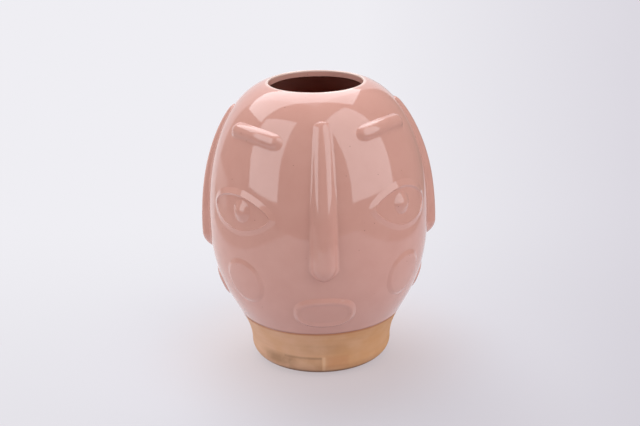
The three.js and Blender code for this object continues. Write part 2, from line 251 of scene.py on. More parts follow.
# %% Turn the foot
def quadratic(start, handle, end, steps):
    t = np.linspace(0, 1, steps)[:, None]
    return (1 - t) ** 2 * np.array(start) + 2 * t * (1 - t) * np.array(handle) + t * t * np.array(end)

def round_edge(centre, radius, start, end, steps=14):
    angles = np.radians(np.linspace(start, end, steps))
    return np.stack([centre[0] + radius * np.cos(angles), centre[1] + radius * np.sin(angles)], -1)

def foot_ring(radius, height):
    ring = turned_ring(radius, height)
    apart = np.abs((TURNS[:, None] - MOULD_LINES + np.pi) % (2 * np.pi) - np.pi).min(axis=1) * radius
    starts = ease((height - MOULD_LINE_FROM) / MOULD_LINE_STARTS)
    fades = ease((MOULD_LINE_TO - height) / MOULD_LINE_FADES)
    swell = MOULD_LINE_LIFT * (1 - ease(apart / (2 * MOULD_LINE_HALF))) * starts * fades
    return ring * np.array([1, 1, 0]) * (1 + swell / max(radius, 1))[:, None] + ring * np.array([0, 0, 1])

flare_top = np.array([GLAZE_RADIUS, GLAZE_LINE - SEAM_GAP])
flare_handle = FOOT_RADIUS, flare_top[1] - (GLAZE_RADIUS - FOOT_RADIUS) * GLAZE_SLOPE
radius, height, outward, upright = wall_at(0.0)
inner_top = np.array([radius - WALL * upright, height + WALL * outward - SEAM_GAP])
inner_radius = FOOT_RADIUS - WALL
inner_handle = inner_radius, inner_top[1] - (inner_top[0] - inner_radius) * GLAZE_SLOPE
inner_low = inner_radius, FLOOR_TOP + FLOOR_ROUND
ring_outer = FOOT_RADIUS - BASE_ROUND
ring_inner = ring_outer - REST_RING
hollow_rim = ring_inner - 2 * BASE_HOLLOW, BASE_HOLLOW
foot_profile = np.vstack([
    [(0, BASE_HOLLOW), (ring_inner / 2, BASE_HOLLOW), hollow_rim],
    quadratic(hollow_rim, (ring_inner - BASE_HOLLOW, HOLLOW_EDGE), (ring_inner, 0), steps=8)[1:],
    round_edge((ring_outer, BASE_ROUND), BASE_ROUND, -90, 0, steps=22),
    quadratic((FOOT_RADIUS, BASE_ROUND), flare_handle, flare_top, steps=34)[1:],
    quadratic(inner_top, inner_handle, inner_low, steps=16),
    round_edge((inner_radius - FLOOR_ROUND, FLOOR_TOP + FLOOR_ROUND), FLOOR_ROUND, 0, -90)[1:],
    [(inner_radius / 2, FLOOR_TOP), (0, FLOOR_TOP)]])
pieces["foot"] = skin_of_loops("bare_foot", [foot_ring(r, z) for r, z in foot_profile])

# %% [markdown]
# ## Laying a sprig
#
# A sprig is drawn flat first: how far across and up from its middle, and how high it stands. Then
# it is laid on the wall, which curves both ways. Under the glaze its edge runs out into the wall in
# a soft hollow, so each outline goes on past the edge in a skirt that slips just under the wall's
# surface. The back of the sprig closes it inside the clay. The sprigs were laid by hand, so each
# kind has a table of small shifts, turns and tilts, measured on the front of the pot.

# %% Lay a flat plan on the wall
SKIRT_DEPTH = 0.18
BACK_DEPTH = 1.2
BACK_ROWS = 6

def lay_on_wall(site, plan, lift):
    azimuth, climb, tilt = site
    across, up = plan.T
    sideways = across * math.cos(tilt) - up * math.sin(tilt)
    upwards = across * math.sin(tilt) + up * math.cos(tilt)
    radius, _, outward, _ = wall_at(climb)
    climb = climb + upwards + outward / radius * sideways ** 2 / 2
    return off_wall(azimuth + sideways / wall_at(climb)[0], climb, lift)

def lay_sprig(name, site, plan, steps, lifts):
    back_steps = np.linspace(steps[-1], steps[0], BACK_ROWS)
    back = [lay_on_wall(site, plan(step), -BACK_DEPTH) for step in back_steps]
    face = [lay_on_wall(site, plan(step), lift) for step, lift in zip(steps, lifts)]
    pieces[name] = skin_of_loops("glazed_" + name, back + face)

SIDES = {"front": 0.0, "right": 90.0, "back": 180.0, "left": 270.0}
CORNERS = {"front_left": -45, "front_right": 45, "back_right": 135, "back_left": 225}
LEFT_HAND = ("front_left", "back_right")
print("sides:", list(SIDES), "corners:", list(CORNERS))

# %% [markdown]
# ## Noses
#
# A nose is a long ridge with a broad round crown, widest and highest at its blunt tip. Where it
# meets the wall the glaze fills the corner in a small hollow. Measured as a share from the middle
# line to the edge, the cross-section is a power curve over the crown and a parabola, turned over,
# for the hollow. So the plan is a stack of loops from the edge in to the middle line.

# %% A tapering ridge
RIDGE_ROWS = 36
RIDGE_SKIRT = 1.05
MID_SKIRT = 1.02
RIDGE_STEPS = np.concatenate([[RIDGE_SKIRT, MID_SKIRT], np.cos(np.linspace(0, np.pi / 2, RIDGE_ROWS))])
SIDE_POINTS = 80
CAP_POINTS = 40
CAP = np.linspace(0, np.pi, CAP_POINTS)[1:-1]
AT_THE_ENDS = np.concatenate([np.zeros(SIDE_POINTS), np.sin(CAP) ** 2] * 2)

def cap_of(squareness):
    across = np.sign(np.cos(CAP)) * np.abs(np.cos(CAP)) ** (2 / squareness)
    return across, np.sin(CAP) ** (2 / squareness)

def ridge_plan(length, half_width, start_round, end_round, start_squareness, end_squareness):
    start_across, start_along = cap_of(start_squareness)
    end_across, end_along = cap_of(end_squareness)
    one_side = np.ones(SIDE_POINTS)
    across = np.concatenate([one_side, end_across, -one_side, -start_across])

    def loop(share):
        side_up = start_round + np.linspace(0, 1, SIDE_POINTS) * (length - start_round - end_round)
        end_up = length - end_round * (1 - share * end_along)
        start_up = start_round * (1 - share * start_along)
        up = np.concatenate([side_up, end_up, side_up[::-1], start_up])
        return np.stack([share * across * half_width(np.clip(up / length, 0, 1)), up], -1)

    return loop

def crown_share(step, shoulder, power=2.0):
    reach = shoulder ** (power - 1)
    fall = 1 / (shoulder * reach + power * reach * (1 - shoulder) / 2)
    fillet = fall * power * reach / (2 * (1 - shoulder))
    part = min(step, 1)
    return 1 - fall * part ** power if part < shoulder else fillet * (1 - part) ** 2

def sunk(step):
    return SKIRT_DEPTH * max(step - 1, 0) / (RIDGE_SKIRT - 1)

print("loops on a ridge:", len(RIDGE_STEPS))

# %% Make the noses
NOSE_BELOW_RIM = 27.6
NOSE_TIP_RISE = 55.4
NOSE_TIP_HALF = 12.2
NOSE_TAPER = 3.5
NOSE_TOP_TAPER = 2.2
TOP_TAPER_POWER = 6
# pairs for the tip and the top
NOSE_LIFT = 7.8, 1.8
NOSE_ROUND = 12.5, 6.0
NOSE_SQUARENESS = 1.72, 2.1
NOSE_FLATNESS = 3.2, 2.0
NOSE_BLUNT = 0.7, 0.5
NOSE_LIFT_POWER = 1.3
NOSE_SHOULDER = 0.72
# turn in degrees, tip and top up the wall in mm, lean in degrees
NOSE_LAID = {
    "front": (-0.3, 0.0, -1.7, -0.8), "right": (2.0, 3.6, 0.0, 0.0),
    "back": (0.0, 0.0, 0.0, 0.0), "left": (-6.0, -3.0, -5.5, 1.8)}

def nose_half(share):
    return NOSE_TIP_HALF - NOSE_TAPER * share - NOSE_TOP_TAPER * share ** TOP_TAPER_POWER

for side, azimuth in SIDES.items():
    turn, tip_shift, top_shift, lean = NOSE_LAID[side]
    tip = NOSE_TIP_RISE + tip_shift
    length = WALL_LENGTH - NOSE_BELOW_RIM + top_shift - tip
    plan = ridge_plan(length, nose_half, *NOSE_ROUND, *NOSE_SQUARENESS)

    def nose_lift(step):
        along = np.clip(plan(step)[:, 1] / length, 0, 1)
        top = NOSE_LIFT[0] + (NOSE_LIFT[1] - NOSE_LIFT[0]) * along ** NOSE_LIFT_POWER
        flatness = NOSE_FLATNESS[0] + (NOSE_FLATNESS[1] - NOSE_FLATNESS[0]) * along
        side_share = crown_share(step, NOSE_SHOULDER, flatness)
        end_share = (1 - min(step, 1) ** 2) ** np.where(along < 0.5, *NOSE_BLUNT)
        return top * (side_share + (end_share - side_share) * AT_THE_ENDS) - sunk(step)

    site = math.radians(azimuth + turn), tip, math.radians(lean)
    lay_sprig("nose_" + side, site, plan, RIDGE_STEPS, [nose_lift(step) for step in RIDGE_STEPS])

# %% [markdown]
# ## Mouths
#
# A mouth is a flat oval pad with a low lip line round it. The oval is a superellipse, a little
# squarer than an ellipse. Each loop is the same outline with both half sizes cut by one inset, so
# the bevel is equally wide all round.

# %% An oval pad
BEVEL_ROWS = 26
MIDDLE_ROWS = 9

def oval_plan(half_width, half_height, left_end=2.0, right_end=2.0, points=144, upper=1.0):
    angle = np.linspace(0, 2 * np.pi, points, endpoint=False)
    squareness = np.where(np.cos(angle) < 0, left_end, right_end)
    x = np.sign(np.cos(angle)) * np.abs(np.cos(angle)) ** (2 / squareness)
    y = np.sign(np.sin(angle)) * np.abs(np.sin(angle)) ** (2 / squareness)
    y = np.where(y > 0, upper * y, y)
    return lambda inset: np.stack([x, y], -1) * (np.array([half_width, half_height]) - inset)

def insets(skirt, edge, middle, rows=BEVEL_ROWS):
    return np.concatenate([np.linspace(-skirt, edge, rows), np.linspace(edge, middle, MIDDLE_ROWS)[1:]])

print("loops on a pad:", BEVEL_ROWS + MIDDLE_ROWS - 1)

# %% Make the mouths
MOUTH_RISE = 24.6
MOUTH_HALF = 23.4, 15.0
MOUTH_SQUARENESS = 2.5
MOUTH_SKIRT = 1.6
MOUTH_LIFT = 2.0
MOUTH_LIP_AT = 3.2
MOUTH_DISH = 0.7
MOUTH_FLAT_AT = 6.6
MOUTH_TURN = {"front": 0.0, "right": 7.0, "back": 0.0, "left": -8.0}

def mouth_lift(inset):
    rise = ease((inset + MOUTH_SKIRT) / (MOUTH_LIP_AT + MOUTH_SKIRT))
    dip = ease((inset - MOUTH_LIP_AT) / (MOUTH_FLAT_AT - MOUTH_LIP_AT))
    return (MOUTH_LIFT + SKIRT_DEPTH) * rise - SKIRT_DEPTH - MOUTH_DISH * dip

mouth_steps = insets(MOUTH_SKIRT, MOUTH_FLAT_AT, MOUTH_HALF[1])
mouth_plan = oval_plan(*MOUTH_HALF, MOUTH_SQUARENESS, MOUTH_SQUARENESS)
for side, azimuth in SIDES.items():
    site = math.radians(azimuth + MOUTH_TURN[side]), MOUTH_RISE, 0
    lay_sprig("mouth_" + side, site, mouth_plan, mouth_steps, mouth_lift(mouth_steps))

# %% [markdown]
# ## Cheeks
#
# A cheek is a thin round disc, pressed flat, with a wide soft edge under the glaze. It is an oval
# pad with equal half sizes and one eased rise from the wall to the flat.

# %% Make the cheeks
CHEEK_RISE = 47.5
CHEEK_RADIUS = 18.8
CHEEK_LIFT = 1.15
CHEEK_SKIRT = 1.6
CHEEK_BEVEL = 4.0
CHEEK_LAID = {True: (0.0, -0.8), False: (1.0, 3.0)}  # shift up in mm, turn in degrees

cheek_steps = insets(CHEEK_SKIRT, CHEEK_BEVEL, CHEEK_RADIUS)
cheek_rise = ease((cheek_steps + CHEEK_SKIRT) / (CHEEK_BEVEL + CHEEK_SKIRT))
cheek_lifts = (CHEEK_LIFT + SKIRT_DEPTH) * cheek_rise - SKIRT_DEPTH
for corner, azimuth in CORNERS.items():
    shift, turn = CHEEK_LAID[corner in LEFT_HAND]
    site = math.radians(azimuth + turn), CHEEK_RISE + shift, 0
    lay_sprig("cheek_" + corner, site, oval_plan(CHEEK_RADIUS, CHEEK_RADIUS), cheek_steps, cheek_lifts)

# %% [markdown]
# ## Eyes
#
# An eye is an almond pad with a roll of clay round it for the lids: round at its outer end, pointed
# at the end by the nose. The upper lid stands high, with a straight outer slope that catches the
# lamp in a bright streak. The lower lid is low and runs out softly into the wall. So the lift at
# each inset is mixed from two curves, by how low on the eye it lies. The iris is a separate domed
# button in its middle.

# %% Make the eyes
EYE_CLIMB = BELLY_CLIMB + 24.8
EYE_ROWS = 60
EYE_POINTS = 180
OUTER_END, INNER_END = 1.9, 1.55  # squareness
EYE_SKIRT = 2.4
LID_LIFT = 1.6
LOWER_LID = 0.34
LID_CREST = 3.3
LID_FOOT = 5.4
LID_ROUNDNESS = 0.25
LOWER_SPREAD = 0.6
LOWER_POWER = 4, 2  # how late the lower lid's curve rises, for the top and the bottom of the eye
INSIDE_SLOPE = 1.05
INSIDE_EASE = 0.15
INSIDE_EASE_REACH = 2
EYE_FLAT = 0.22
# shift up in mm, turn and tilt in degrees, half width and height in mm, upper height as a share of it
EYE_LAID = {True: (-1.6, -1.5, -1.5, 32.1, 17.4, 0.92), False: (-1.0, 0.8, -8.0, 31.6, 17.7, 1.06)}

def lid_lift(inset, low_share):
    crest = LID_LIFT * (1 - (1 - LOWER_LID) * low_share)
    out = np.clip((inset + EYE_SKIRT) / (LID_CREST + EYE_SKIRT), 0, 1)
    upper_rise = LID_ROUNDNESS * ease(out) + (1 - LID_ROUNDNESS) * out
    lower_rise = out ** (LOWER_POWER[0] + (LOWER_POWER[1] - LOWER_POWER[0]) * low_share)
    rise = upper_rise + (lower_rise - upper_rise) * low_share
    inside = max(inset - LID_CREST, 0)
    fall = inside * (INSIDE_SLOPE - INSIDE_EASE * min(inside, INSIDE_EASE_REACH))
    lift = (crest + SKIRT_DEPTH) * rise - SKIRT_DEPTH - fall
    return np.maximum(lift, EYE_FLAT if inside else -SKIRT_DEPTH)

for corner, azimuth in CORNERS.items():
    left_hand = corner in LEFT_HAND
    shift, turn, tilt, *half, upper = EYE_LAID[left_hand]
    ends = (OUTER_END, INNER_END) if left_hand else (INNER_END, OUTER_END)
    steps = insets(EYE_SKIRT, LID_FOOT, half[1], EYE_ROWS)
    site = math.radians(azimuth + turn), EYE_CLIMB + shift, math.radians(tilt)
    oval = oval_plan(*half, *ends, EYE_POINTS, upper)
    upwards = oval(0)[:, 1]
    low_share = (upwards.max() - upwards) / np.ptp(upwards)

    def plan(inset):
        run_out = LOWER_SPREAD * low_share * max(LID_CREST - inset, 0)
        return oval((inset - run_out)[:, None])

    lay_sprig("eye_" + corner, site, plan, steps, [lid_lift(step, low_share) for step in steps])

# %% Make the irises
IRIS_ROWS = 26
IRIS_POINTS = 96
IRIS_RADIUS = 8.2
IRIS_SKIRT = 1.0
IRIS_TOP = 3.0
IRIS_BASE = 0.05
CROWN_POWER, FOOT_POWER = 2.2, 1.5
IRIS_LAID = {True: (-0.6, 0.6), False: (1.5, 0.0)}  # shift up in mm, turn in degrees

iris_plan = oval_plan(IRIS_RADIUS, IRIS_RADIUS, points=IRIS_POINTS)
iris_steps = np.linspace(-IRIS_SKIRT, IRIS_RADIUS, IRIS_ROWS)
iris_out = 1 - (iris_steps + IRIS_SKIRT) / (IRIS_RADIUS + IRIS_SKIRT)
iris_lifts = IRIS_BASE + (IRIS_TOP - IRIS_BASE) * (1 - iris_out ** CROWN_POWER) ** FOOT_POWER
for corner, azimuth in CORNERS.items():
    shift, turn = IRIS_LAID[corner in LEFT_HAND]
    site = math.radians(azimuth + turn), EYE_CLIMB + shift, 0
    lay_sprig("iris_" + corner, site, iris_plan, iris_steps, iris_lifts)

# %% [markdown]
# ## Brows
#
# A brow is a straight bar, rolled by hand and pressed down along the crown. It is a ridge like the
# nose, but equally wide at both ends. Its upper shoulder is tight and its lower side runs out slowly,
# so the share that is left at each loop is mixed from two curves, by how far down the bar it lies.

# %% Make the brows
BROW_BELOW_RIM = 42.0
BROW_LENGTH = 55.0
BROW_HALF = 6.9
BROW_LIFT = 3.3
BROW_ROUND = 9.0
BROW_SQUARENESS = 2.0
BROW_SHOULDER = 0.6
TIGHT_CROWN, TIGHT_FOOT = 3.2, 1.3  # powers of the tight shoulder
BROW_LAID = {True: (-2.0, -4.0), False: (2.0, 2.0)}  # shift up in mm, tilt in degrees

brow_ridge = ridge_plan(
    BROW_LENGTH, lambda share: BROW_HALF, BROW_ROUND, BROW_ROUND, BROW_SQUARENESS, BROW_SQUARENESS)
lower_side = (1 + brow_ridge(1.0)[:, 0] / BROW_HALF) / 2

def brow_plan(step):
    return brow_ridge(step) - np.array([0, BROW_LENGTH / 2])

def brow_lift(step):
    tight = (1 - min(step, 1) ** TIGHT_CROWN) ** TIGHT_FOOT
    slow = crown_share(step, BROW_SHOULDER)
    return BROW_LIFT * (tight + (slow - tight) * lower_side) - sunk(step)

brow_lifts = [brow_lift(step) for step in RIDGE_STEPS]
for corner, azimuth in CORNERS.items():
    shift, tilt = BROW_LAID[corner in LEFT_HAND]
    site = math.radians(azimuth), WALL_LENGTH - BROW_BELOW_RIM + shift, math.radians(tilt - 90)
    lay_sprig("brow_" + corner, site, brow_plan, RIDGE_STEPS, brow_lifts)

# %% [markdown]
# ## Pink glaze
#
# The finish is a glossy opaque earthenware glaze, dipped and fired. It is a thin coat of coloured
# glass, so it takes a glass IOR a little above 1.5 and a low roughness, and mirrors the lamps
# sharply over a matt pink ground. Firing leaves pinholes where gas escaped, faint clouds where the
# coat is thicker, and a brown line where it thins out over the clay at its lower edge. A pale ring
# is painted over the lip as its highlight, and deep inside the pot a darker brown is painted as shade.

# %% Colour and node helpers
SMOOTH = {"interpolation_type": "SMOOTHSTEP"}
COLOUR = {"data_type": "RGBA"}
PRODUCT = {"operation": "MULTIPLY"}

def linear(hex_colour):
    parts = [int(hex_colour[i:i + 2], 16) / 255 for i in (1, 3, 5)]
    return (*[p / 12.92 if p <= 0.04045 else ((p + 0.055) / 1.055) ** 2.4 for p in parts], 1)

def add_node(tree, kind, inputs=(), **settings):
    made = tree.nodes.new("ShaderNode" + kind)
    for name, value in settings.items():
        setattr(made, name, value)
    inputs = inputs if isinstance(inputs, dict) else dict(enumerate(inputs))
    for name, value in inputs.items():
        if isinstance(value, bpy.types.Node):
            value = next(socket for socket in value.outputs if socket.enabled)
        if isinstance(value, bpy.types.NodeSocket):
            tree.links.new(value, made.inputs[name])
        else:
            made.inputs[name].default_value = value
    return made

def new_material(name):
    material = bpy.data.materials.new(name)
    material.use_nodes = True
    tree = material.node_tree
    return material, tree, tree.nodes["Principled BSDF"]

def per_millimetre(size):
    return 1 / (size * MM)

# full between two values and nothing outside them, with soft edges
def soft_band(tree, value, low, high, soft, peak=1.0):
    rising = add_node(tree, "MapRange", [value, low - soft, low + soft], **SMOOTH)
    falling = add_node(tree, "MapRange", [value, high - soft, high + soft, peak, 0.0], **SMOOTH)
    return add_node(tree, "Math", [rising, falling], **PRODUCT)

print("middle grey in linear light: %.3f" % linear("#808080")[0])

# %% Values of the pink glaze
GLAZE_PINK = linear("#d09d90")
GLAZE_THICK = linear("#c99386")
# painted highlight: a pale ring on the lip
GLAZE_LIP_HIGHLIGHT = linear("#f3dccf")
# painted shade: the inside of the pot is darker deep down
INSIDE_PAINTED_SHADE = linear("#b46b5d")
GLAZE_THIN_EDGE = linear("#8a5a44")
PINHOLE_BROWN = linear("#7a4c40")
CLOUD_SIZE = 16.0
RIPPLE_SIZE = 7.0
PINHOLE_SPACING = 8.0
PINHOLE_RADIUS = 0.42
PINHOLE_SHARE = 0.8
# heights and radii where a tone starts and ends, in metres
THIN_EDGE = (GLAZE_LINE - 0.6) * MM, (GLAZE_LINE + 1.3) * MM
THIN_SHARE = 0.85
LIP_RING = (RIM_RADIUS + 0.2) * MM, (RIM_RADIUS + 2.2) * MM
LIP_BOTTOM = (RIM_HEIGHT - 1.2) * MM
LIP_HIGHLIGHT_SHARE = 0.6
# heights over which the painted shade inside the pot comes in
DEEP_SHADE_HEIGHTS = (RIM_HEIGHT - 22) * MM, (RIM_HEIGHT - 8) * MM
INWARD = -0.02, 0.0
print("pinholes: %.1f mm across, one in %.0f mm" % (2 * PINHOLE_RADIUS, PINHOLE_SPACING))

# %% Mix the pink glaze
pink_glaze, tree, shader = new_material("pink_earthenware_glaze")
place = add_node(tree, "TexCoord").outputs["Object"]
height = add_node(tree, "SeparateXYZ", [place]).outputs["Z"]
cloud = add_node(tree, "TexNoise", {"Vector": place, "Scale": per_millimetre(CLOUD_SIZE), "Detail": 3.0})
coat = add_node(tree, "Mix", {0: cloud, 6: GLAZE_THICK, 7: GLAZE_PINK}, **COLOUR)
thin = add_node(tree, "MapRange", [height, *THIN_EDGE, THIN_SHARE, 0.0])
coat = add_node(tree, "Mix", {0: thin, 6: coat, 7: GLAZE_THIN_EDGE}, **COLOUR)

level_place = add_node(tree, "VectorMath", [place, (1.0, 1.0, 0.0)], **PRODUCT)
from_axis = add_node(tree, "VectorMath", [level_place], operation="LENGTH")
# the pale ring on the lip is a painted highlight
by_rim = add_node(tree, "MapRange", [from_axis, *LIP_RING, LIP_HIGHLIGHT_SHARE, 0.0], **SMOOTH)
on_top = add_node(tree, "Math", [height, LIP_BOTTOM], operation="GREATER_THAN")
lip_highlight = add_node(tree, "Math", [by_rim, on_top], **PRODUCT)
coat = add_node(tree, "Mix", {0: lip_highlight, 6: coat, 7: GLAZE_LIP_HIGHLIGHT}, **COLOUR)

# painted shade: faces turned to the axis are darkened deep inside the pot
facing = add_node(tree, "NewGeometry").outputs["Normal"]
outward = add_node(tree, "VectorMath", [facing, level_place], operation="DOT_PRODUCT")
inward = add_node(tree, "MapRange", [outward, *INWARD, 1.0, 0.0])
deep = add_node(tree, "MapRange", [height, *DEEP_SHADE_HEIGHTS, 1.0, 0.0])
deep_inside_shade = add_node(tree, "Math", [inward, deep], **PRODUCT)
coat = add_node(tree, "Mix", {0: deep_inside_shade, 6: coat, 7: INSIDE_PAINTED_SHADE}, **COLOUR)

bubbles = add_node(tree, "TexVoronoi", {"Vector": place, "Scale": per_millimetre(PINHOLE_SPACING)})
pinhole_edge = PINHOLE_RADIUS / PINHOLE_SPACING
pinhole = add_node(tree, "MapRange", [bubbles, 0.5 * pinhole_edge, pinhole_edge, PINHOLE_SHARE, 0.0])
coat = add_node(tree, "Mix", {0: pinhole, 6: coat, 7: PINHOLE_BROWN}, **COLOUR)
ripple = add_node(tree, "TexNoise", {"Vector": place, "Scale": per_millimetre(RIPPLE_SIZE), "Detail": 1.0})
pitted = add_node(tree, "Math", [ripple, pinhole], operation="SUBTRACT")
surface = add_node(tree, "Bump", {"Height": pitted, "Strength": 0.35, "Distance": 0.06 * MM})
tree.links.new(coat.outputs[2], shader.inputs["Base Color"])
tree.links.new(surface.outputs["Normal"], shader.inputs["Normal"])
shader.inputs["Roughness"].default_value = 0.06
shader.inputs["IOR"].default_value = 1.58
print("glaze nodes:", len(tree.nodes))

# %% [markdown]
# ## Bare clay
#
# The foot is biscuit-fired earthenware: buff, matt and a little open. It was wiped with a wet
# sponge before firing, which leaves fine level streaks, and it is stained grey-brown low at the
# front, beside the mould line. The mould line stays paler, where fine clay was squeezed into the
# joint. The right side is painted a little darker as shade, and the left a little lighter. Iron gathers
# where the glaze ends and fires red just below it, and a painted contact shade darkens the lower edge.

# %% Values of the bare clay
CLAY_BUFF = linear("#e0b598")
# the warm tone is also the painted shade on the right side
CLAY_WARM_AND_SHADED = linear("#cf9968")
CLAY_STAIN = linear("#84603f")
CLAY_RED = linear("#b0663e")
CLAY_PALE = linear("#e4c09c")
# painted shade along the lower edge, where the foot meets the floor
CLAY_CONTACT_SHADE = linear("#6b4a36")
MOTTLE_SIZE = 22.0
STREAK_SIZE = 2.6
STREAK_STRETCH = 0.05
GRIT_SIZE = 0.9  # real grit is near 0.2 mm, drawn coarser so that it shows
# each row: where a value starts and ends, and the shares of the tone there
MOTTLE_WARMS = 0.38, 0.66, 0.28, 0.62
# painted shade: darker to the right, a little lighter to the left
RIGHT_SHADE_WARMS = -50 * MM, 50 * MM, -0.15, 0.4
STREAK_STAINS = 0.35, 0.7, 0.0, 0.07
MOTTLE_BREAKS = 0.35, 0.55, 0.45, 1.0
IRON_REDDENS = (GLAZE_LINE - 3.4) * MM, (GLAZE_LINE - 0.4) * MM, 0.0, 0.8
# heights of the painted contact shade at the lower edge
CONTACT_SHADE_DARKENS = 2.2 * MM, 6.0 * MM, 0.9, 0.0
# marks low at the front: from left to right and up the foot in mm, softness, strength, colour
FOOT_MARKS = [
    ((-16, 16), (19.0, 30.0), 9.0, 0.14, CLAY_STAIN),
    ((-45, -25), (8.0, 16.5), 5.0, 0.55, CLAY_STAIN),
    ((-28, -2.2), (0.5, 17.2), 0.8, 0.22, CLAY_STAIN),
    ((-31, -2.2), (15.4, 17.2), 0.7, 0.4, CLAY_STAIN),
    ((1.4, 19), (8.0, 17.4), 1.8, 0.22, CLAY_RED),
    ((-1.8, 0.5), (1.0, 17.4), 0.5, 0.5, CLAY_PALE)]
SOFTEST_UPWARDS = 3.5
print("marks on the foot:", len(FOOT_MARKS))

# %% Mix the bare clay
bare_clay, tree, shader = new_material("biscuit_fired_buff_clay")
place = add_node(tree, "TexCoord").outputs["Object"]
x, y, z = add_node(tree, "SeparateXYZ", [place]).outputs
mottle = add_node(tree, "TexNoise", {"Vector": place, "Scale": per_millimetre(MOTTLE_SIZE), "Detail": 3.0})
mottled = add_node(tree, "MapRange", [mottle, *MOTTLE_WARMS])
# painted shade to the right, added to the random warm mottle
right_shade = add_node(tree, "MapRange", [x, *RIGHT_SHADE_WARMS], **SMOOTH)
warm_and_shaded = add_node(tree, "Math", [mottled, right_shade], operation="ADD", use_clamp=True)
clay = add_node(tree, "Mix", {0: warm_and_shaded, 6: CLAY_BUFF, 7: CLAY_WARM_AND_SHADED}, **COLOUR)

level = add_node(tree, "VectorMath", [place, (STREAK_STRETCH, STREAK_STRETCH, 1.0)], **PRODUCT)
streak = add_node(tree, "TexNoise", {"Vector": level, "Scale": per_millimetre(STREAK_SIZE), "Detail": 2.0})
sponged = add_node(tree, "MapRange", [streak, *STREAK_STAINS])
clay = add_node(tree, "Mix", {0: sponged, 6: clay, 7: CLAY_STAIN}, **COLOUR)

front = add_node(tree, "Math", [y, 0.0], operation="LESS_THAN")
broken = add_node(tree, "MapRange", [mottle, *MOTTLE_BREAKS], **SMOOTH)
broken_front = add_node(tree, "Math", [front, broken], **PRODUCT)
for (left, right), (low, high), soft, strength, colour in FOOT_MARKS:
    wide = soft_band(tree, x, left * MM, right * MM, soft * MM, strength)
    tall = soft_band(tree, z, low * MM, high * MM, min(soft, SOFTEST_UPWARDS) * MM)
    spot = add_node(tree, "Math", [wide, tall], **PRODUCT)
    mark = add_node(tree, "Math", [spot, broken_front], **PRODUCT)
    clay = add_node(tree, "Mix", {0: mark, 6: clay, 7: colour}, **COLOUR)

red = add_node(tree, "MapRange", [z, *IRON_REDDENS], **SMOOTH)
clay = add_node(tree, "Mix", {0: red, 6: clay, 7: CLAY_RED}, **COLOUR)
# painted contact shade: the lower edge of the foot is darkened
contact_shade = add_node(tree, "MapRange", [z, *CONTACT_SHADE_DARKENS], **SMOOTH)
clay = add_node(tree, "Mix", {0: contact_shade, 6: clay, 7: CLAY_CONTACT_SHADE}, **COLOUR)
grit = add_node(tree, "TexNoise", {"Vector": place, "Scale": per_millimetre(GRIT_SIZE), "Detail": 2.0})
rough = add_node(tree, "Math", [grit, streak], operation="ADD")
surface = add_node(tree, "Bump", {"Height": rough, "Strength": 0.4, "Distance": 0.08 * MM})
tree.links.new(clay.outputs[2], shader.inputs["Base Color"])
tree.links.new(surface.outputs["Normal"], shader.inputs["Normal"])
shader.inputs["Roughness"].default_value = 0.8
print("clay nodes:", len(tree.nodes))

# %% [markdown]
# ## Dressing the frame
#
# Each piece takes its finish, stands for the node of the same name and rides on the one body.

# %% Give each piece its finish and its place in the frame
for node_name, piece in pieces.items():
    slot = "bare_clay" if node_name == "foot" else "pink_glaze"
    piece.data.materials.append(bare_clay if slot == "bare_clay" else pink_glaze)
    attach(piece, "root")
    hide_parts(node_name)
print("pieces dressed:", len(pieces))

# %% [markdown]
# ## Floor
#
# The pot stands on a pale sheet. Near the pot the sheet is lit paper, which takes the pot's shadow.
# Further off, rays from the camera and from the glaze see an even tone instead. To the camera it is
# pale, with painted shade to the right and in front, a painted shadow, and a painted pink bounce
# close to the pot, which throws its own colour on the paper. The glaze also mirrors where the paper
# ends: a table on the left and the dim room on the right.

# %% Lay the sheet
SHEET_LEFT = -0.62
SHEET_RIGHT = 0.56
SHEET_FRONT = 0.52
SHEET_BACK = 3.0

sheet = bpy.data.meshes.new("pale_sheet")
sheet_corners = [
    (SHEET_LEFT, -SHEET_FRONT, 0), (SHEET_RIGHT, -SHEET_FRONT, 0),
    (SHEET_RIGHT, SHEET_BACK, 0), (SHEET_LEFT, SHEET_BACK, 0)]
sheet.from_pydata(sheet_corners, [], [(0, 1, 2, 3)])
floor = bpy.data.objects.new("pale_sheet", sheet)
bpy.context.scene.collection.objects.link(floor)
print("sheet: %.2f by %.2f m" % (SHEET_RIGHT - SHEET_LEFT, SHEET_FRONT + SHEET_BACK))

# %% Values of the paper, with lengths in metres
FLOOR_PALE = linear("#cfcbd0")
SHEET_LIT = linear("#efeef3")
SHEET_SHADED = linear("#dcd9e1")
# painted shade on the sheet in front of the pot
SHEET_FRONT_SHADE = linear("#d0ccd4")
SHADOW_TONE = linear("#c7c1c8")
PAPER_BRIGHT = linear("#fbfafd")
TABLE_TONE = linear("#bdb4ac")
ROOM_DIM = linear("#857c72")
# painted bounce light: the pot's pink thrown on the paper near it
PAINTED_BOUNCE_TINT = 1.0, 0.92, 0.88, 1
# the shade on the right leans, and widens to the back from a point in front of the sheet
SHADE_LEAN = -0.04
SHADE_FROM = 1.11
SHADE_SPREAD = 0.0335, 0.238
# each row: where a place starts and ends, and the shares of the tone there
EVEN_FROM_POT = 0.10, 0.27, 0.7, 1.0
# painted shade in front of the pot, less of it on the left
FRONT_SHADE_FALLS = -0.22, 0.35, 0.58, 0.0
LEFT_SHADE_LESS = -0.3, 0.0, 0.6, 1.0
SHADOW_FALLS = 0.2, 1.2, 0.65, 0.0
